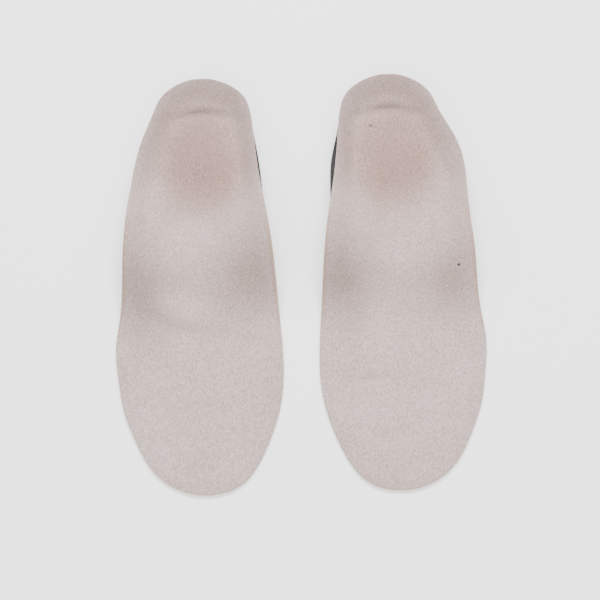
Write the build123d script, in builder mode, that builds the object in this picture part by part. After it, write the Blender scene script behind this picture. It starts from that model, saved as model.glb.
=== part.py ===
"""A pair of moulded, cushioned insoles with deep heel cups, lying side by side with the toes towards -Y.

Every insole is a stack of bonded sheets and blocks.  From the top they are a microfibre top cover, a foam
cushion with a soft heel plug and a metatarsal pad let into it, a thin moulded shell, firm foam blocks that
carry the shell (heel post, arch filler and a wedge up the inner side of the heel) and a flat base lining.
The sheets that pass under the ball of the foot are made in two lengths, one each side of the toe break,
so that the front of the insole can bend up about that line.

Units are millimetres.  Z is up, the pair stands on Z = 0 and the origin is midway between the two insoles.
Inside one insole a place is (along, across): along runs from the back of the heel to the toe, and across
is positive towards the inner (arch) side of the foot.
"""

from build123d import *

import functools
import math
import os

import numpy as np

# ---- driving dimensions ---------------------------------------------------------------------------------
LENGTH = 263.0  # heel to toe, the outside of one insole
CENTRE_TO_CENTRE = 118.0  # between the two insoles' long axes

COVER = 0.9  # top cover
CUSHION = 2.3  # foam under the cover
SHELL = 1.8  # moulded shell
LINING = 0.7  # flat sheet underneath

HEEL_FLOOR = 9.2  # top of the insole above the ground in the middle of the heel
ARCH_FLOOR = 14.0  # the same in the middle of the arch
FOREFOOT = COVER + CUSHION + LINING  # the same from the ball forwards

CUP_DEPTH = 13.5  # rim above the floor of the heel cup
WALL_RUN = 11.5  # how far in from the rim the wall of the cup meets the floor
ARCH_RISE = 8.0  # how much the inner side is lifted under the arch
OUTER_RISE = 2.5  # the same on the outer side

SHELL_FRONT = 139.0  # front end of the shell, along
FILLER_FRONT = 156.0  # front end of the arch filler
POST_BACK = 11.5  # back end of the heel post
POST_FRONT = 84.0  # front end of the heel post
TOE_BREAK = 180.0  # the insole bends up about this line
BREAK_GAP = 0.3  # slit left between the two lengths of each sheet there
STEP = 0.2  # length in which a sheet steps down over the end of the piece under it

HEEL_PLUG_AT = (40.0, 1.0)  # along, across
HEEL_PLUG_SIZE = (44.0, 34.0)
MET_PAD_AT = (150.0, -9.0)
MET_PAD_SIZE = (28.0, 46.0)
MET_PAD_TURN = 16.0  # degrees, the pad lies along the metatarsal heads

WEDGE_SPAN = (28.0, 91.0)  # the inner heel wedge, along
WEDGE_TOP = 15.5  # height of its top edge
GLUE_LINE = 0.05  # left between the wedge and what it is bonded to

BASE_INSET_HEEL = 8.0  # the foot print is this much smaller than the rim round the heel
BASE_INSET_ARCH = 5.0  # the same under the arch
BASE_INSET_FRONT = 0.3  # the same where the arch filler runs out
BLOCK_INSET_HEEL = 5.0  # how far inside the rim the blocks meet the shell, round the heel
BLOCK_INSET_ARCH = 1.5  # the same under the arch

# sections are drawn at these places along the insole, up to the end of the part that is not flat
HEEL_STATIONS = [0.3, 1.0, 2.2, 4.0, 6.2, 8.6, POST_BACK, 15.0, 20.0, WEDGE_SPAN[0], 33.0, 40.0, 48.0, 56.0]
HEEL_STATIONS += [64.0, 72.0, 78.0]
ARCH_STATIONS = [POST_FRONT, WEDGE_SPAN[1], 100.0, 107.0, 114.0, 121.0, 127.0, 133.0, SHELL_FRONT]
BALL_STATIONS = [SHELL_FRONT + STEP, 145.0, 151.0, FILLER_FRONT, FILLER_FRONT + STEP, 160.5, 165.0, 171.0]
ACROSS_POINTS = 21  # points across each section
RIM_SAMPLES = 700  # points round the rim that distances are measured to

# the two insoles: side of the pair each lies on, outward flare of its heel wall, height of its met pad
# and how far its inner heel wedge stands out past the rim
FEET = {
    "right": {"side": -1, "flare": 0.0, "pad_rise": 2.6, "wedge_proud": 1.4},
    "left": {"side": 1, "flare": 3.2, "pad_rise": 1.2, "wedge_proud": 3.0},
}

# the rim seen from above, as (along, across)
HEEL_TIP = (0, 1.5)
OUTER_RIM = [(5, -14.5), (14, -23.5), (26, -28), (40, -33), (60, -38), (90, -42), (125, -44.4)]
OUTER_RIM += [(150, -46.3), (170, -48.6), (192, -46.7), (212, -43), (230, -36.1), (246, -27.5), (257, -16)]
TOE_TIP = (LENGTH, 4)
INNER_RIM = [(5, 18.5), (14, 28.2), (26, 32), (40, 33.5), (65, 36), (95, 40.4), (125, 44.4), (158, 47.2)]
INNER_RIM += [(188, 48.6), (210, 46.4), (230, 40.4), (246, 33), (257, 24)]
FLARE_SPAN = (20.0, 95.0)  # where the outer wall of the heel leans out further on one foot
RIM_SPINE = (60.0, 200.0)  # the rim is drawn in towards this stretch of the long axis


# ---- shape of the foot bed ------------------------------------------------------------------------------
def ramp(value, start, end):
    """0 before start, 1 after end, an even curve between."""
    t = np.clip((value - start) / (end - start), 0.0, 1.0)
    return t**3 * (10 - 15 * t + 6 * t**2)


def bump(value, middle, reach):
    """1 in the middle, falling evenly to 0 at the given reach."""
    return np.clip(1 - ((value - middle) / reach) ** 2, 0.0, 1.0) ** 3


def place(foot, along, across, height=0.0):
    """A point of one insole in the frame of the pair."""
    return Vector(foot["side"] * (CENTRE_TO_CENTRE / 2 - across), LENGTH / 2 - along, height)


def rim_line(foot, inset=None):
    """The rim of one insole seen from above, as a closed curve, drawn in by inset(along)."""
    middle, reach = sum(FLARE_SPAN) / 2, (FLARE_SPAN[1] - FLARE_SPAN[0]) / 2
    outer = [(a, c - foot["flare"] * float(bump(a, middle, reach))) for a, c in OUTER_RIM]
    places = []
    for a, c in [HEEL_TIP, *outer, TOE_TIP, *reversed(INNER_RIM)]:
        inwards = min(max(a, RIM_SPINE[0]), RIM_SPINE[1]) - a, -c
        pull = inset(a) / math.hypot(*inwards) if inset else 0.0
        places.append(place(foot, a + inwards[0] * pull, c + inwards[1] * pull))
    return Spline(places, periodic=True, mode=Mode.PRIVATE)


@functools.cache
def rim_places(side, inset=None):
    """Points along the outer and the inner side of a rim line, heel to toe, each as (along, across)."""
    foot = next(f for f in FEET.values() if f["side"] == side)
    line = rim_line(foot, inset)
    points = [line @ (i / RIM_SAMPLES) for i in range(RIM_SAMPLES)]
    rim = np.array([(LENGTH / 2 - p.Y, CENTRE_TO_CENTRE / 2 - side * p.X) for p in points])
    rim = np.roll(rim, -int(rim[:, 0].argmin()), axis=0)
    toe = int(rim[:, 0].argmax())
    return rim[: toe + 1], np.concatenate([rim[toe:], rim[:1]])[::-1]


def edge_distance(foot, along, across):
    """Distance in from the rim at each of the given places, negative outside it."""
    outer, inner = rim_places(foot["side"])
    rim = np.concatenate([outer, inner[-2::-1]])[:-1]
    ahead = np.roll(rim, -1, axis=0)
    step = ahead - rim
    spot = np.stack([along, across], axis=-1)[..., None, :]
    share = np.clip(((spot - rim) * step).sum(-1) / (step**2).sum(-1), 0, 1)
    nearest = np.sqrt(((spot - rim - share[..., None] * step) ** 2).sum(-1)).min(-1)
    low = np.interp(along, outer[:, 0], outer[:, 1])
    high = np.interp(along, inner[:, 0], inner[:, 1])
    inside = (across > low) & (across < high) & (along > 0) & (along < LENGTH)
    return np.where(inside, nearest, -nearest)


def bed_height(foot, along, across, with_pad):
    """Height of the top of the insole at each of the given places."""
    heel_to_arch = ramp(along, 58, 108)
    arch_to_ball = ramp(along, 112, 166)
    floor = HEEL_FLOOR + (ARCH_FLOOR - HEEL_FLOOR) * heel_to_arch - (ARCH_FLOOR - FOREFOOT) * arch_to_ball
    arch = bump(along, 108, 56)
    floor = floor + arch * (ARCH_RISE * ramp(across, -4, 40) + OUTER_RISE * ramp(-across, 8, 40))
    inner = ramp(across, -14, 14)
    inner_wall = CUP_DEPTH * (1 - 0.38 * ramp(along, 55, 100)) * (1 - ramp(along, 112, 163))
    outer_wall = CUP_DEPTH * (1 - 0.35 * ramp(along, 45, 95)) * (1 - ramp(along, 106, 160))
    wall = inner * inner_wall + (1 - inner) * outer_wall
    run = WALL_RUN + inner * 6 * ramp(along, 60, 100) + (1 - inner) * 2.5 * ramp(along, 30, 60)
    t = edge_distance(foot, along, across) / run
    profile = np.where(t > 0, np.clip(1 - t, 0, 1) ** 2 * (1 + 1.2 * t), 1 - 0.8 * t)
    height = floor + wall * profile
    if with_pad:
        turn = math.radians(MET_PAD_TURN)
        da, dc = along - MET_PAD_AT[0], across - MET_PAD_AT[1]
        pa, pc = da * math.cos(turn) - dc * math.sin(turn), dc * math.cos(turn) + da * math.sin(turn)
        reach = np.hypot(pa / (MET_PAD_SIZE[0] / 2), pc / (MET_PAD_SIZE[1] / 2))
        height = height + foot["pad_rise"] * np.clip(1 - reach**2, 0, 1) ** 1.5
    return height


def level(foot, depth, with_pad=False):
    """The face a given depth below the top of the insole, square to it, as a function of the place."""

    def heights(along, across):
        along = np.full_like(across, along)

        def bed(da, dc):
            return bed_height(foot, along + da, across + dc, with_pad)

        slope_a, slope_c = bed(0.5, 0) - bed(-0.5, 0), bed(0, 0.5) - bed(0, -0.5)
        return bed(0, 0) - depth * np.sqrt(1 + slope_a**2 + slope_c**2)

    return heights


def flat(foot):
    """The top of the base lining, as a function of the place."""
    return lambda along, across: np.full_like(across, LINING)


# ---- ways of making a piece -----------------------------------------------------------------------------
def base_inset(along):
    """How far the foot print lies inside the rim."""
    to_arch = (BASE_INSET_HEEL - BASE_INSET_ARCH) * float(ramp(along, 60, 100))
    return BASE_INSET_HEEL - to_arch - (BASE_INSET_ARCH - BASE_INSET_FRONT) * float(ramp(along, 105, 152))


def block_inset(along):
    """How far inside the rim the blocks under the shell meet it."""
    to_arch = (BLOCK_INSET_HEEL - BLOCK_INSET_ARCH) * float(ramp(along, 60, 100))
    return BLOCK_INSET_HEEL - to_arch - (BLOCK_INSET_ARCH - BASE_INSET_FRONT) * float(ramp(along, 105, 152))


def edges(foot, along, inset=None):
    """Where a line across the insole meets both sides of the rim drawn in by inset(along)."""
    return [float(np.interp(along, side[:, 0], side[:, 1])) for side in rim_places(foot["side"], inset)]


def across_curve(foot, along, heights, inset=None):
    """Points across the insole at the given heights, closer together towards its two edges."""
    low, high = edges(foot, along, inset)
    share = np.linspace(-1, 1, ACROSS_POINTS)
    share = (share + np.sin(share * math.pi / 2)) / 2
    across = (low + high) / 2 + share * (high - low) / 2
    return [(foot["side"] * (CENTRE_TO_CENTRE / 2 - c), h) for c, h in zip(across, heights(along, across))]


def station_plane(along):
    """Upright plane across the pair."""
    return Plane((0, LENGTH / 2 - along, 0), x_dir=(1, 0, 0), z_dir=(0, -1, 0))


def layer(foot, stations, top, bottom, top_inset=None, bottom_inset=None):
    """A piece that lies between two faces, drawn through sections across the insole."""
    with BuildPart() as piece:
        for along in stations:
            upper = across_curve(foot, along, top, top_inset)
            lower = across_curve(foot, along, bottom, bottom_inset)
            with BuildSketch(station_plane(along)):
                with BuildLine():
                    Spline(upper)
                    Line(upper[-1], lower[-1])
                    Spline(lower[::-1])
                    Line(lower[0], upper[0])
                make_face()
        loft(ruled=True)
    return piece.part


def sheet(foot, thickness, base, start, end, inset=None):
    """A flat sheet inside the rim line, from one line across the insole to another."""
    with BuildPart() as piece:
        with BuildSketch(Plane.XY.offset(base)):
            with BuildLine():
                add(rim_line(foot, inset))
            make_face()
            with Locations(place(foot, (start + end) / 2, 0)):
                Rectangle(CENTRE_TO_CENTRE, end - start, mode=Mode.INTERSECT)
        extrude(amount=thickness)
    return piece.part


def oval(foot, at, size, turn=0.0):
    """Upright oval column, the outline of a pad that is let into the cushion."""
    with BuildPart() as piece:
        with BuildSketch(Location(place(foot, *at), (0, 0, foot["side"] * turn))):
            Ellipse(size[1] / 2, size[0] / 2)
        extrude(amount=2 * (HEEL_FLOOR + CUP_DEPTH))
    return piece.part


# ---- the pieces of one insole ---------------------------------------------------------------------------
def moulded_layers(foot):
    """Top cover, cushion with its two pads, and shell, back of the toe break."""
    rear = TOE_BREAK - BREAK_GAP / 2
    stations = [*HEEL_STATIONS, *ARCH_STATIONS, *BALL_STATIONS, rear]
    cushion_top, shell_top = level(foot, COVER, True), level(foot, COVER + CUSHION)

    def cushion_bottom(along, across):
        return shell_top(along, across) if along <= FILLER_FRONT else flat(foot)(along, across)

    whole = layer(foot, stations, cushion_top, cushion_bottom)
    plug = oval(foot, HEEL_PLUG_AT, HEEL_PLUG_SIZE)
    pad = oval(foot, MET_PAD_AT, MET_PAD_SIZE, MET_PAD_TURN)
    with BuildPart() as cushion:
        add(whole)
        add(plug, mode=Mode.SUBTRACT)
        add(pad, mode=Mode.SUBTRACT)
    with BuildPart() as heel_plug:
        add(whole)
        add(plug, mode=Mode.INTERSECT)
    with BuildPart() as metatarsal_pad:
        add(whole)
        add(pad, mode=Mode.INTERSECT)
    shell_bottom = level(foot, COVER + CUSHION + SHELL)
    return {
        "top_cover_rear": layer(foot, stations, level(foot, 0.0, True), cushion_top),
        "cushion_rear": cushion.part,
        "heel_plug": heel_plug.part,
        "metatarsal_pad": metatarsal_pad.part,
        "support_shell": layer(foot, [*HEEL_STATIONS, *ARCH_STATIONS], shell_top, shell_bottom),
    }


def blocks(foot):
    """Heel post and arch filler, the firm blocks between the shell and the lining."""
    shell_top = level(foot, COVER + CUSHION)
    shell_bottom = level(foot, COVER + CUSHION + SHELL)

    def filler_top(along, across):
        return shell_bottom(along, across) if along <= SHELL_FRONT else shell_top(along, across)

    behind = [s for s in [*HEEL_STATIONS, *ARCH_STATIONS] if POST_BACK <= s <= POST_FRONT]
    ahead = [s for s in [*ARCH_STATIONS, *BALL_STATIONS] if POST_FRONT <= s <= FILLER_FRONT]
    return {
        "heel_post": layer(foot, behind, shell_bottom, flat(foot), block_inset, base_inset),
        "arch_filler": layer(foot, ahead, filler_top, flat(foot), block_inset, base_inset),
    }


def inner_wedge(foot):
    """Dense crescent against the inner side of the heel cup, standing a little proud of the rim."""
    shell_bottom = level(foot, COVER + CUSHION + SHELL)
    middle, reach = sum(WEDGE_SPAN) / 2, (WEDGE_SPAN[1] - WEDGE_SPAN[0]) / 2 + 3
    with BuildPart() as wedge:
        for along in [s for s in [*HEEL_STATIONS, *ARCH_STATIONS] if WEDGE_SPAN[0] <= s <= WEDGE_SPAN[1]]:
            foot_edge = edges(foot, along, base_inset)[1] + GLUE_LINE
            block_edge = edges(foot, along, block_inset)[1] + GLUE_LINE
            rim = edges(foot, along)[1] + GLUE_LINE
            proud = rim + foot["wedge_proud"] * float(bump(along, middle, reach))
            under_shell = shell_bottom(along, np.array([block_edge, rim])) - 2 * GLUE_LINE
            under_block, under_rim = np.minimum(under_shell, (WEDGE_TOP - 0.6, WEDGE_TOP - 0.3))
            corners = [(foot_edge, LINING), (proud, LINING), (proud, WEDGE_TOP), (rim, WEDGE_TOP)]
            corners += [(rim, under_rim), (block_edge, under_block)]
            with BuildSketch(station_plane(along)):
                with BuildLine():
                    points = [(foot["side"] * (CENTRE_TO_CENTRE / 2 - c), h) for c, h in corners]
                    Polyline(points, close=True)
                make_face()
        loft(ruled=True)
    return wedge.part


def insole(foot):
    """Every piece of one insole by name."""
    rear, front = TOE_BREAK - BREAK_GAP / 2, TOE_BREAK + BREAK_GAP / 2
    return {
        **moulded_layers(foot),
        **blocks(foot),
        "inner_heel_wedge": inner_wedge(foot),
        "base_lining_rear": sheet(foot, LINING, 0.0, 0.0, rear, base_inset),
        "base_lining_toe": sheet(foot, LINING, 0.0, front, LENGTH, base_inset),
        "cushion_toe": sheet(foot, CUSHION, LINING, front, LENGTH),
        "top_cover_toe": sheet(foot, COVER, LINING + CUSHION, front, LENGTH),
    }


def main():
    """Builds both insoles and writes one STEP for each piece."""
    os.makedirs("parts", exist_ok=True)
    for foot_name, foot in FEET.items():
        for piece_name, piece in insole(foot).items():
            piece.label = f"{foot_name}_{piece_name}"
            export_step(piece, f"parts/{piece.label}.step")


if __name__ == "__main__":
    main()
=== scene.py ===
import math

import bpy
import numpy as np
from mathutils import Euler, Matrix, Vector
from mathutils.bvhtree import BVHTree
from mathutils.geometry import delaunay_2d_cdt


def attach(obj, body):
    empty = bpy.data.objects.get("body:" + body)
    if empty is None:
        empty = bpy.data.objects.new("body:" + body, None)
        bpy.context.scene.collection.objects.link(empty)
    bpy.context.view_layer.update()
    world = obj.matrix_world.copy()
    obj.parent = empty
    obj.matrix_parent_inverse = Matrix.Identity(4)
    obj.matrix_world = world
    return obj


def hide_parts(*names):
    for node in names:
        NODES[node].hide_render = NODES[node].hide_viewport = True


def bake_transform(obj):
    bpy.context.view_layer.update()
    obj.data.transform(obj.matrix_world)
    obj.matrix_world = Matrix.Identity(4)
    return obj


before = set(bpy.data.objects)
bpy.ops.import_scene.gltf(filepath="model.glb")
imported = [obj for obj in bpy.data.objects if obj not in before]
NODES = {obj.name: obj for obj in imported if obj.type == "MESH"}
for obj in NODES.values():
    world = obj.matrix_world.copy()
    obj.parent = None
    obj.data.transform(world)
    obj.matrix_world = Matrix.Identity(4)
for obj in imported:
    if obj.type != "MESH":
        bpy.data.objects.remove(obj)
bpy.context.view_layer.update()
MM = 0.001
FEET = {"left": 1, "right": -1}  # the side of the row's middle that each insole lies on
HEEL_END = 131.5 * MM  # where the heels end, back of the row's middle
FOOT_MIDDLE = 59 * MM  # where each insole's long axis lies, off the row's middle
SKIVE = 1.5 * MM  # the front of each insole is ground this much thinner at its edge
SKIVE_SPAN = (165 * MM, 205 * MM)  # it starts and is full at these places along
WAIST = 0.7 * MM  # how far the cover is ground back at the middle of the foot, which bares the cushion


# ---- reading shapes off the CAD nodes -------------------------------------------------------------------
def triangles(*names):
    """All the triangles of some CAD nodes, as (points, corner indices)."""
    points, corners, start = [], [], 0
    for name in names:
        mesh = NODES[name].data
        mesh.calc_loop_triangles()
        co = np.array([v.co for v in mesh.vertices])
        points.append(co)
        corners.append(np.array([t.vertices for t in mesh.loop_triangles]) + start)
        start += len(co)
    return np.concatenate(points), np.concatenate(corners)


def outline(*names, count=520, soften=2):
    """The outline of some nodes seen from above, as evenly spaced points, anticlockwise."""
    points, corners = triangles(*names)
    flat = points[:, :2]
    a = flat[corners[:, [0, 1, 2]].ravel()]
    b = flat[corners[:, [1, 2, 0]].ravel()]
    middle = (flat.min(0) + flat.max(0)) / 2
    step, rays = b - a, []
    for angle in np.linspace(0, 2 * math.pi, 1440, endpoint=False):
        d = np.array([math.cos(angle), math.sin(angle)])
        cross = d[0] * step[:, 1] - d[1] * step[:, 0]
        cross = np.where(np.abs(cross) < 1e-12, np.nan, cross)
        gap = a - middle
        far = (gap[:, 0] * step[:, 1] - gap[:, 1] * step[:, 0]) / cross
        share = (gap[:, 0] * d[1] - gap[:, 1] * d[0]) / cross
        rays.append(middle + d * np.nanmax(np.where((share >= 0) & (share <= 1), far, np.nan)))
    ring = np.array(rays)
    for _ in range(soften):
        ring = spaced(ring, count)
        ring = (np.roll(ring, 1, 0) + 2 * ring + np.roll(ring, -1, 0)) / 4
    return ring


def spaced(ring, count):
    """The same closed line with evenly spaced points."""
    closed = np.vstack([ring, ring[:1]])
    run = np.concatenate([[0], np.cumsum(np.linalg.norm(np.diff(closed, axis=0), axis=1))])
    at = np.linspace(0, run[-1], count, endpoint=False)
    return np.stack([np.interp(at, run, closed[:, k]) for k in (0, 1)], axis=1)


def drawn_in(ring, distance):
    """The line moved inwards by a small distance."""
    ahead = np.roll(ring, -1, 0) - np.roll(ring, 1, 0)
    ahead /= np.linalg.norm(ahead, axis=1, keepdims=True)
    return ring + np.stack([-ahead[:, 1], ahead[:, 0]], axis=1) * distance


def oval(name, count=96):
    """The ellipse that a pad fills, anticlockwise."""
    return outline(name, count=count, soften=1)


class Heights:
    """Heights of the upper or under side of some nodes, read on a grid and carried on past their edge."""

    STEP = 1.25 * MM

    def __init__(self, names, upper, soften=1):
        points, corners = triangles(*names)
        tree = BVHTree.FromPolygons([tuple(p) for p in points], [tuple(c) for c in corners.tolist()])
        low, high = points.min(0) - 0.012, points.max(0) + 0.012
        self.low = low[:2]
        shape = np.ceil((high - low)[:2] / self.STEP).astype(int) + 1
        self.z = np.full(shape, np.nan)
        start, way = (0.1, -1) if upper else (-0.1, 1)
        for i in range(shape[0]):
            for j in range(shape[1]):
                spot = (low[0] + i * self.STEP, low[1] + j * self.STEP, start)
                hit = tree.ray_cast(Vector(spot), Vector((0, 0, way)))[0]
                if hit is not None:
                    self.z[i, j] = hit.z
        for _ in range(9):
            self.carry_on()
        self.z = np.where(np.isnan(self.z), np.nanmean(self.z), self.z)
        for _ in range(soften):
            self.z = self.softened()

    def carry_on(self):
        """Fills each empty spot beside known ones, on the same slope."""
        guesses = []
        for axis in (0, 1):
            for way in (1, -1):
                near = np.roll(self.z, way, axis)
                guesses.append(2 * near - np.roll(self.z, 2 * way, axis))
        with np.errstate(invalid="ignore"):
            known = np.isfinite(guesses)
            total = np.where(known, guesses, 0).sum(0)
            guess = total / np.maximum(known.sum(0), 1)
        fill = np.isnan(self.z) & (known.sum(0) > 0)
        self.z = np.where(fill, guess, self.z)

    def softened(self):
        """The grid averaged over neighbours."""
        wide = np.pad(self.z, 1, mode="edge")
        along = (wide[:-2] + 2 * wide[1:-1] + wide[2:]) / 4
        return (along[:, :-2] + 2 * along[:, 1:-1] + along[:, 2:]) / 4

    def __call__(self, spots):
        at = (np.asarray(spots) - self.low) / self.STEP
        i = np.clip(at.astype(int), 0, np.array(self.z.shape) - 2)
        u, v = (at - i).T
        x, y = i.T
        near = self.z[x, y] * (1 - v) + self.z[x, y + 1] * v
        far = self.z[x + 1, y] * (1 - v) + self.z[x + 1, y + 1] * v
        return near * (1 - u) + far * u


# ---- making the soft pieces -----------------------------------------------------------------------------
def inside(ring, spots):
    """Which of some places lie inside a closed line."""
    a, b = ring, np.roll(ring, -1, 0)
    found = np.zeros(len(spots), bool)
    for (ax, ay), (bx, by) in zip(a, b):
        if ay != by:
            cuts = (ay > spots[:, 1]) != (by > spots[:, 1])
            found ^= cuts & (spots[:, 0] < ax + (spots[:, 1] - ay) / (by - ay) * (bx - ax))
    return found


def plan(ring, spacing, holes=()):
    """Triangles that fill a closed line, less some holes. The line's points come first, then the holes'."""
    low, high = ring.min(0), ring.max(0)
    rows = np.arange(low[1], high[1], spacing * 0.866)
    xs = np.arange(low[0], high[0], spacing)
    grid = np.array([(x + (k % 2) * spacing / 2, y) for k, y in enumerate(rows) for x in xs])
    grid = grid[inside(drawn_in(ring, spacing * 0.6), grid)]
    for hole in holes:
        grid = grid[~inside(drawn_in(hole, -spacing * 0.6), grid)]
    points = np.concatenate([ring, *holes, grid])
    lines, start = [], 0
    for loop in (ring, *holes):
        n = len(loop)
        lines += [(start + i, start + (i + 1) % n) for i in range(n)]
        start += n
    made = delaunay_2d_cdt([Vector(p) for p in points], lines, [], 0, 1e-7)
    order = [origins[0] for origins in made[3]]
    faces = np.array([[order[i] for i in f] for f in made[2]])
    middle = points[faces].mean(1)
    keep = inside(ring, middle)
    for hole in holes:
        keep &= ~inside(hole, middle)
    return points, faces[keep]


def ring_faces(a, b, n):
    """Quads between two rings of n points that start at a and at b."""
    return [(a + i, a + (i + 1) % n, b + (i + 1) % n, b + i) for i in range(n)]


def slab(name, ring, top, bottom, rounding, spacing, holes=(), bulge=0.0):
    """A closed sheet or pad between two height fields, with rounded edges and a slightly bulging side."""
    n = len(ring)
    turns = [math.radians(t) for t in (90, 60, 30)]
    points, faces = plan(drawn_in(ring, rounding), spacing, holes)
    upper = np.column_stack([points, top(points)])
    lower = np.column_stack([points, bottom(points)])
    parts = [upper, lower]
    polys = [tuple(f) for f in faces] + [tuple(f[::-1] + len(points)) for f in faces]
    count = 2 * len(points)
    rings = [0]
    for t in turns[1:]:
        at = drawn_in(ring, rounding * (1 - math.cos(t)))
        parts.append(np.column_stack([at, top(at) - rounding * (1 - math.sin(t))]))
        rings.append(count)
        count += n
    high, low = top(ring) - rounding, bottom(ring) + rounding
    for share in (0.0, 0.25, 0.5, 0.75, 1.0):
        at = drawn_in(ring, -bulge * math.sin(math.pi * share))
        parts.append(np.column_stack([at, high + (low - high) * share]))
        rings.append(count)
        count += n
    for t in turns[:0:-1]:
        at = drawn_in(ring, rounding * (1 - math.cos(t)))
        parts.append(np.column_stack([at, bottom(at) + rounding * (1 - math.sin(t))]))
        rings.append(count)
        count += n
    rings.append(len(points))
    for a, b in zip(rings, rings[1:]):
        polys += [f[::-1] for f in ring_faces(a, b, n)]
    start = n
    for hole in holes:
        polys += ring_faces(start, start + len(points), len(hole))
        start += len(hole)
    mesh = bpy.data.meshes.new(name)
    corners = [tuple(p) for p in np.concatenate(parts)]
    mesh.from_pydata(corners, [], [tuple(int(i) for i in f) for f in polys])
    mesh.validate()
    mesh.update()
    for polygon in mesh.polygons:
        polygon.use_smooth = True
    made = bpy.data.objects.new(name, mesh)
    bpy.context.scene.collection.objects.link(made)
    return made


def local(foot, spots):
    """Places in the row frame as (along, across) of one insole, in metres: from the heel, and inwards."""
    return HEEL_END - spots[:, 1], FOOT_MIDDLE - FEET[foot] * spots[:, 0]


def eased(value, start, end):
    """0 at start, 1 at end, an even curve between."""
    t = np.clip((value - start) / (end - start), 0, 1)
    return t * t * (3 - 2 * t)


def edge_gap(ring, spots):
    """How far each place is from a closed line."""
    ring = spaced(ring, 1400)
    parts = [part for part in np.array_split(spots, 40) if len(part)]
    return np.concatenate([np.sqrt(((part[:, None] - ring) ** 2).sum(-1)).min(1) for part in parts])


def skived(foot, ring, spots):
    """How much thinner the insole is ground towards its edge from the ball to the toes."""
    along, _ = local(foot, spots)
    return SKIVE * eased(along, *SKIVE_SPAN) * (1 - eased(edge_gap(ring, spots), -2 * MM, 5.5 * MM))


def band(foot, spots, at, size, turn=0.0, bow=0.0, sharp=1):
    """A soft oval or bowed band, 1 in its middle and 0 well outside: at (along, across), size likewise."""
    along, across = local(foot, spots)
    t = math.radians(turn)
    u = (across - at[1]) * math.cos(t) + (along - at[0]) * math.sin(t)
    v = (along - at[0]) * math.cos(t) - (across - at[1]) * math.sin(t) - bow * u**2
    return np.exp(-(((u / size[1]) ** 2 + (v / size[0]) ** 2) ** sharp))


# wrinkles and pressure lines of the top cover: at, size, turn in degrees, bow, height, and shade, which is
# painted shade where below 1 and painted highlight where above 1, laid along each line
# the crease at the foot of the heel cup's back wall, a dip darkened with painted shade
HEEL_LINE = ((0.0148, 0.002), (0.0030, 0.018), 0, 16, -0.0007, 0.48)
CREASES = {
    "left": [
        HEEL_LINE,
        # two wrinkles across the forefoot, each a dip with painted shade beside a rise with painted
        # highlight
        ((0.1945, 0.020), (0.0022, 0.011), 4, 0, -0.0005, 0.84),
        ((0.1990, 0.020), (0.0022, 0.012), 4, 0, 0.0003, 1.06),
        ((0.228, 0.006), (0.0022, 0.017), 10, -14, -0.0003, 0.91),
        ((0.236, 0.002), (0.0022, 0.018), 10, -14, 0.0002, 1.03),
    ],
    "right": [
        HEEL_LINE,
        # the front edge of the metatarsal pad: a dip with painted shade, and painted highlight on the rise
        # behind it
        ((0.1600, -0.012), (0.0036, 0.024), 18, -8, -0.0005, 0.84),
        ((0.1500, -0.006), (0.0050, 0.015), 18, -8, 0.0003, 1.08),
    ],
}


def creases(foot, spots):
    """Height of the wrinkles at each place."""
    return sum(height * band(foot, spots, *shape) for *shape, height, _ in CREASES[foot])


# worn or soiled zones of the top cover, and zones of painted shade: at, size, sharpness, colour there
WEAR_AND_SHADE = {
    "left": [
        # the heel bowl: worn, soiled discolouration together with painted shade in the hollow of the heel
        # cup
        ((0.049, 0.000), (0.039, 0.027), 2, (0.77, 0.69, 0.68)),
        ((0.066, -0.002), (0.016, 0.030), 1, (0.95, 0.935, 0.93)),
        ((0.050, 0.001), (0.046, 0.031), 2, (0.87, 0.81, 0.795)),
        # painted shade where the arch's side flanges fall away to the forefoot, and a fainter band of it
        # across the middle
        ((0.136, 0.033), (0.026, 0.016), 1, (0.67, 0.645, 0.635)),
        ((0.136, -0.031), (0.024, 0.015), 1, (0.71, 0.68, 0.67)),
        ((0.137, 0.0), (0.014, 0.036), 1, (0.90, 0.88, 0.88)),
        # faint yellowish stains
        ((0.072, 0.010), (0.014, 0.005), 1, (1.0, 0.97, 0.92)),
        ((0.052, -0.016), (0.016, 0.005), 1, (0.98, 0.95, 0.91)),
    ],
    "right": [
        # the heel bowl: worn, soiled discolouration together with painted shade in the hollow of the heel
        # cup
        ((0.050, 0.001), (0.039, 0.027), 2, (0.76, 0.68, 0.67)),
        ((0.064, 0.006), (0.018, 0.027), 1, (0.93, 0.91, 0.905)),
        ((0.050, 0.001), (0.046, 0.031), 2, (0.87, 0.81, 0.795)),
        # painted shade where the arch's side flanges fall away to the forefoot, and a fainter band of it
        # across the middle
        ((0.131, 0.030), (0.024, 0.018), 1, (0.72, 0.69, 0.68)),
        ((0.138, -0.034), (0.027, 0.015), 1, (0.62, 0.595, 0.585)),
        ((0.134, 0.0), (0.014, 0.036), 1, (0.93, 0.91, 0.91)),
        # a faint yellowish stain
        ((0.066, 0.016), (0.014, 0.005), 1, (0.98, 0.95, 0.91)),
        # a small lighter patch at the middle of the arch
        ((0.101, -0.006), (0.010, 0.012), 1, (1.06, 1.07, 1.07)),
    ],
}
EDGE_SHADE = (0.84, 0.76, 0.66)  # the rubbed edge at the middle of the foot
EDGE_WIDTH = 2.2 * MM


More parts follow.
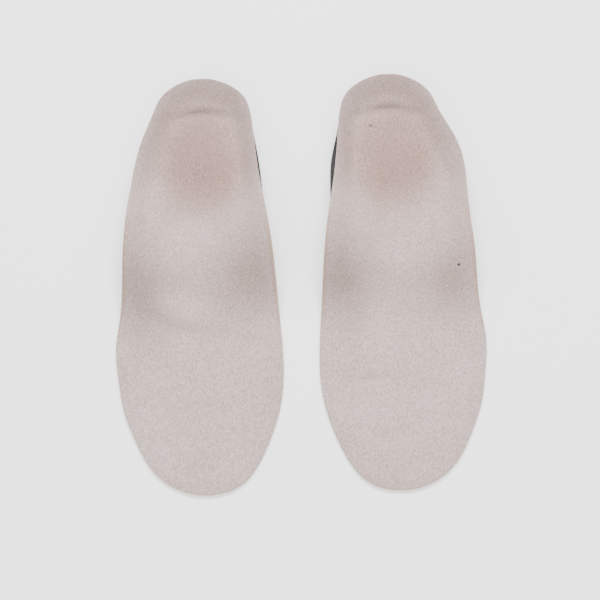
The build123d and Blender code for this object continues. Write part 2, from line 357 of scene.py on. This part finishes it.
def tinted(foot, ring, obj):
    """Colours each point of a cover for wear and soiling and for painted shade and painted highlight, as the
    attribute that the cloth's material reads.
    """
    spots = np.array([v.co[:2] for v in obj.data.vertices])
    colour = np.ones((len(spots), 4))
    # wear and soiling, with painted shade in the heel cup and where the flanges fall away
    for at, size, sharp, shade in WEAR_AND_SHADE[foot]:
        share = band(foot, spots, at, size, sharp=sharp)[:, None]
        colour[:, :3] *= 1 - share * (1 - np.array(shade))
    # painted shade and painted highlight along the creases
    for *shape, _, shade in CREASES[foot]:
        colour[:, :3] *= 1 - band(foot, spots, *shape)[:, None] * (1 - shade)
    along, _ = local(foot, spots)
    rubbed = np.exp(-((edge_gap(ring, spots) / EDGE_WIDTH) ** 2) - ((along - 128 * MM) / (34 * MM)) ** 4)
    colour[:, :3] *= 1 - rubbed[:, None] * (1 - np.array(EDGE_SHADE))
    # the 'wear' attribute carries the wear tints together with the painted shade and painted highlight
    attribute = obj.data.color_attributes.new("wear", "FLOAT_COLOR", "POINT")
    attribute.data.foreach_set("color", colour.astype(np.float32).ravel())


# ---- materials ------------------------------------------------------------------------------------------
def material(name, roughness, sheen=0.0, coat=0.0):
    """A new material with its shader, and a function that adds nodes to it."""
    made = bpy.data.materials.new(name)
    made.use_nodes = True
    tree = made.node_tree
    shader = tree.nodes["Principled BSDF"]
    shader.inputs["Roughness"].default_value = roughness
    shader.inputs["Sheen Weight"].default_value = sheen
    shader.inputs["Sheen Roughness"].default_value = 0.55
    shader.inputs["Coat Weight"].default_value = coat
    return made, tree, shader


def node(tree, kind, **values):
    """A node with values for its properties or, by name, its inputs."""
    made = tree.nodes.new(kind)
    for key, value in values.items():
        if hasattr(made, key):
            setattr(made, key, value)
        else:
            made.inputs[key.replace("_", " ")].default_value = value
    return made


def stretched(tree, scale):
    """Object coordinates stretched by a scale each way."""
    where = node(tree, "ShaderNodeTexCoord")
    fit = node(tree, "ShaderNodeMapping")
    fit.inputs["Scale"].default_value = scale
    tree.links.new(where.outputs["Object"], fit.inputs["Vector"])
    return fit.outputs["Vector"]


def noise(tree, vector, scale, detail=2.0, roughness=0.5):
    """Cloudy noise, as a value from 0 to 1."""
    made = node(tree, "ShaderNodeTexNoise", Scale=scale, Detail=detail, Roughness=roughness)
    tree.links.new(vector, made.inputs["Vector"])
    return made.outputs["Fac"]


def ramp(tree, value, stops):
    """A colour ramp through (place, colour) stops."""
    made = node(tree, "ShaderNodeValToRGB")
    while len(made.color_ramp.elements) < len(stops):
        made.color_ramp.elements.new(0.5)
    for element, (at, colour) in zip(made.color_ramp.elements, stops):
        element.position = at
        element.color = (*colour, 1) if len(colour) == 3 else colour
    tree.links.new(value, made.inputs["Fac"])
    return made.outputs["Color"]


def mixed(tree, kind, a, b, share):
    """Two colours, or a colour and a link, mixed in one of the blend ways."""
    made = node(tree, "ShaderNodeMix", data_type="RGBA", blend_type=kind)
    for value, socket in ((a, made.inputs[6]), (b, made.inputs[7]), (share, made.inputs[0])):
        if isinstance(value, bpy.types.NodeSocket):
            tree.links.new(value, socket)
        else:
            socket.default_value = value
    return made.outputs[2]


def grey(v):
    """The same value in each colour."""
    return (v, v, v)


def bumped(tree, shader, value, distance, strength=1.0):
    """Adds a bump to the shader, over any that it has."""
    made = node(tree, "ShaderNodeBump", Strength=strength, Distance=distance)
    tree.links.new(value, made.inputs["Height"])
    if shader.inputs["Normal"].is_linked:
        tree.links.new(shader.inputs["Normal"].links[0].from_socket, made.inputs["Normal"])
    tree.links.new(made.outputs["Normal"], shader.inputs["Normal"])


def mark(tree, at, radius, shade):
    """A small round mark of the given shade at a place seen from above."""
    where = node(tree, "ShaderNodeTexCoord")
    flat = node(tree, "ShaderNodeVectorMath", operation="MULTIPLY")
    tree.links.new(where.outputs["Object"], flat.inputs[0])
    flat.inputs[1].default_value = (1, 1, 0)
    gap = node(tree, "ShaderNodeVectorMath", operation="DISTANCE")
    tree.links.new(flat.outputs["Vector"], gap.inputs[0])
    gap.inputs[1].default_value = at
    near = node(tree, "ShaderNodeMapRange")
    near.inputs["From Min"].default_value = radius * 0.5
    near.inputs["From Max"].default_value = radius
    tree.links.new(gap.outputs["Value"], near.inputs["Value"])
    return ramp(tree, near.outputs["Result"], [(0.0, shade), (1.0, grey(1.0))])


def microfibre(specks):
    """Brushed synthetic suede: a short nap, fine lengthwise streaks and a scatter of darker specks."""
    made, tree, shader = material("microfibre", 0.95, sheen=0.12)
    even, streaky = stretched(tree, (1, 1, 1)), stretched(tree, (1, 0.45, 1))
    shades = [(0.3, (0.490, 0.372, 0.345)), (0.7, (0.550, 0.424, 0.396))]
    cloud = ramp(tree, noise(tree, even, 30, 3), shades)
    layers = [
        ramp(tree, noise(tree, streaky, 1450, 2, 0.6), [(0.34, grey(0.72)), (0.66, grey(1.16))]),
        ramp(tree, noise(tree, even, 2400, 1, 0.5), [(0.36, grey(0.80)), (0.64, grey(1.12))]),
        ramp(tree, noise(tree, even, 800, 1), [(0.22, grey(0.70)), (0.30, grey(1.0))]),
    ]
    layers += [mark(tree, at, radius, shade) for at, radius, shade in specks]
    # the 'wear' attribute: wear tints together with painted shade and painted highlight from tinted()
    wear = node(tree, "ShaderNodeAttribute", attribute_name="wear")
    colour = mixed(tree, "MULTIPLY", cloud, wear.outputs["Color"], 1.0)
    for layer in layers:
        colour = mixed(tree, "MULTIPLY", colour, layer, 1.0)
    tree.links.new(colour, shader.inputs["Base Color"])
    shader.inputs["Sheen Tint"].default_value = (1.0, 0.93, 0.91, 1)
    bumped(tree, shader, noise(tree, streaky, 1450, 2, 0.6), 0.0004, 0.7)
    bumped(tree, shader, noise(tree, even, 150, 3), 0.0003, 0.3)
    return made


def foam(name, dark, light, cell, roughness=0.85):
    """Cut closed-cell foam: small pits and a faint mottling."""
    made, tree, shader = material(name, roughness)
    even = stretched(tree, (1, 1, 1))
    body = ramp(tree, noise(tree, even, 60, 3), [(0.3, dark), (0.7, light)])
    cells = node(tree, "ShaderNodeTexVoronoi", Scale=cell)
    tree.links.new(even, cells.inputs["Vector"])
    pits = ramp(tree, cells.outputs["Distance"], [(0.0, grey(0.72)), (0.5, grey(1.05))])
    tree.links.new(mixed(tree, "MULTIPLY", body, pits, 0.7), shader.inputs["Base Color"])
    bumped(tree, shader, cells.outputs["Distance"], 0.0002, 0.5)
    return made


def moulded(name, dark, light):
    """Moulded plastic with a fine spark-eroded grain."""
    made, tree, shader = material(name, 0.5)
    even = stretched(tree, (1, 1, 1))
    colour = ramp(tree, noise(tree, even, 90, 3), [(0.3, dark), (0.7, light)])
    tree.links.new(colour, shader.inputs["Base Color"])
    tree.links.new(ramp(tree, noise(tree, even, 500, 2), [(0.3, grey(0.42)), (0.7, grey(0.6))]),
                   shader.inputs["Roughness"])
    bumped(tree, shader, noise(tree, even, 2600, 2), 0.00006, 0.5)
    return made


def backing_cloth():
    """Thin woven backing cloth."""
    made, tree, shader = material("backing_cloth", 0.9, sheen=0.1)
    even = stretched(tree, (1, 1, 1))
    weave = node(tree, "ShaderNodeTexWave", Scale=420, Distortion=1.5, Detail=2)
    across = node(tree, "ShaderNodeTexWave", Scale=420, Distortion=1.5, Detail=2, bands_direction="Y")
    tree.links.new(even, weave.inputs["Vector"])
    tree.links.new(even, across.inputs["Vector"])
    threads = mixed(tree, "MULTIPLY", weave.outputs["Color"], across.outputs["Color"], 1.0)
    cloud = ramp(tree, noise(tree, even, 40, 3), [(0.3, (0.20, 0.175, 0.16)), (0.7, (0.27, 0.24, 0.22))])
    tree.links.new(mixed(tree, "MULTIPLY", cloud, threads, 0.45), shader.inputs["Base Color"])
    bumped(tree, shader, threads, 0.0001, 0.6)
    return made


def paper():
    """Pale studio floor, faintly lit from below like a light table."""
    made, tree, shader = material("studio_floor", 0.9)
    colour = ramp(tree, noise(tree, stretched(tree, (1, 1, 1)), 8, 2),
                  [(0.3, (0.93, 0.93, 0.93)), (0.7, (0.95, 0.95, 0.95))])
    tree.links.new(colour, shader.inputs["Base Color"])
    shader.inputs["Emission Color"].default_value = (1, 1, 1, 1)
    shader.inputs["Emission Strength"].default_value = 0.6
    return made


# dark specks and pale spots of the covers: place, radius, shade
SPECKS = [
    ((0.0935, 0.0025, 0), 0.0010, (0.08, 0.07, 0.07)),
    ((0.0462, 0.1027, 0), 0.0016, (0.55, 0.50, 0.48)),
    ((-0.0936, 0.0350, 0), 0.0035, (0.90, 0.88, 0.86)),
]
SUEDE = microfibre(SPECKS)
CUSHION_FOAM = foam("cushion_foam", (0.44, 0.32, 0.225), (0.53, 0.40, 0.29), 1800)
PAD_FOAM = foam("pad_foam", (0.48, 0.36, 0.24), (0.56, 0.43, 0.30), 1500)
BLACK_EVA = foam("black_eva", (0.010, 0.010, 0.011), (0.022, 0.021, 0.022), 1500, 0.75)
SHELL_PLASTIC = moulded("shell_plastic", (0.018, 0.018, 0.020), (0.030, 0.030, 0.033))
CLOTH = backing_cloth()
BLOCKS = {
    "support_shell": (SHELL_PLASTIC, 0.25 * MM),
    "heel_post": (BLACK_EVA, 0.5 * MM),
    "arch_filler": (BLACK_EVA, 0.5 * MM),
    "inner_heel_wedge": (BLACK_EVA, 0.5 * MM),
}  # the material of each firm piece, and the width of its worn edge


def painted(obj, look):
    """Gives an object one material."""
    obj.data.materials.clear()
    obj.data.materials.append(look)


# ---- the two insoles ------------------------------------------------------------------------------------
def build(foot):
    """Everything that shows of one insole."""
    rear, toe = f"{foot}_insole_rear", f"{foot}_insole_toe"
    covers = [f"{foot}_top_cover_rear", f"{foot}_top_cover_toe"]
    cushions = [f"{foot}_cushion_rear", f"{foot}_cushion_toe"]
    linings = [f"{foot}_base_lining_rear", f"{foot}_base_lining_toe"]
    plug, pad = f"{foot}_heel_plug", f"{foot}_metatarsal_pad"
    rim = outline(*covers)
    bed = Heights(covers, upper=True, soften=2)
    under_cover = Heights(covers, upper=False, soften=2)
    under_cushion = Heights([*cushions, plug, pad], upper=False)
    windows = (oval(plug), oval(pad))

    def top(spots):
        return bed(spots) + creases(foot, spots) - skived(foot, rim, spots)

    def middle(spots):
        return under_cover(spots) - skived(foot, rim, spots)

    along, _ = local(foot, rim)
    ground = WAIST * np.exp(-(((along - 135 * MM) / (30 * MM)) ** 4))
    cover = slab(f"{foot}_top_cover", drawn_in(rim, ground[:, None]), top, middle, 0.42 * MM, 1.4 * MM)
    cushion = slab(f"{foot}_cushion", drawn_in(rim, 0.1 * MM), middle, under_cushion, 0.25 * MM, 3.0 * MM,
                   windows, bulge=0.1 * MM)
    tinted(foot, rim, cover)
    foot_print = outline(*linings)
    foot_print[:, 1] = np.minimum(foot_print[:, 1], triangles(f"{foot}_heel_post")[0][:, 1].max())
    lining = slab(f"{foot}_base_lining", drawn_in(foot_print, 0.2 * MM), Heights(linings, upper=True),
                  lambda s: np.zeros(len(s)), 0.2 * MM, 4.0 * MM)
    for obj, names in ((cover, covers), (cushion, cushions), (lining, linings)):
        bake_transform(obj)
        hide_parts(*names)
    for name, ring in ((plug, windows[0]), (pad, windows[1])):
        made = slab(f"{name}_foam", drawn_in(ring, 0.1 * MM), under_cover, under_cushion, 0.3 * MM, 2.5 * MM)
        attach(made, rear)
        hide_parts(name)
        painted(made, PAD_FOAM)
    looks = (cover, SUEDE, "top_cover"), (cushion, CUSHION_FOAM, "cushion"), (lining, CLOTH, "lining")
    for obj, look, slot in looks:
        painted(obj, look)
    for name, (look, wear) in BLOCKS.items():
        block = NODES[f"{foot}_{name}"]
        painted(block, look)
        edge = block.modifiers.new("worn_edge", "BEVEL")
        edge.width = wear
        edge.segments = 3
        edge.limit_method = "ANGLE"
        edge.angle_limit = math.radians(45)


for each in FEET:
    build(each)

# ---- floor, light, camera -------------------------------------------------------------------------------
bpy.ops.mesh.primitive_plane_add(size=6, location=(0, 0, -0.0002))
floor = bpy.context.object
floor.name = "studio_floor"
painted(floor, paper())


def softbox(name, at, to, size, power):
    """A rectangular lamp that points at a place."""
    lamp = bpy.data.lights.new(name, "AREA")
    lamp.shape = "RECTANGLE"
    lamp.size, lamp.size_y = size
    lamp.energy = power
    made = bpy.data.objects.new(name, lamp)
    made.location = at
    made.rotation_euler = (Vector(to) - Vector(at)).to_track_quat("-Z", "Y").to_euler()
    bpy.context.scene.collection.objects.link(made)


softbox("key", (0.05, 0.55, 1.1), (0, 0.02, 0), (0.8, 0.5), 28)
softbox("fill", (-0.1, -0.95, 1.05), (0, 0, 0), (1.2, 0.8), 15)
world = bpy.data.worlds.new("studio")
bpy.context.scene.world = world
world.use_nodes = True
world.node_tree.nodes["Background"].inputs["Color"].default_value = (1, 1, 1, 1)
world.node_tree.nodes["Background"].inputs["Strength"].default_value = 0.74

camera_data = bpy.data.cameras.new("camera")
camera_data.lens = 102.6
camera_data.sensor_width = 36
camera = bpy.data.objects.new("camera", camera_data)
target = Vector((0, -0.0148, 0.008))
rise = math.radians(64)
roll = Matrix.Rotation(math.radians(-1.5), 3, "Z")
camera.location = target + Vector((0, -math.cos(rise), math.sin(rise)))
camera.rotation_euler = (Euler((math.pi / 2 - rise, 0, 0)).to_matrix() @ roll).to_euler()
bpy.context.scene.collection.objects.link(camera)
bpy.context.scene.camera = camera
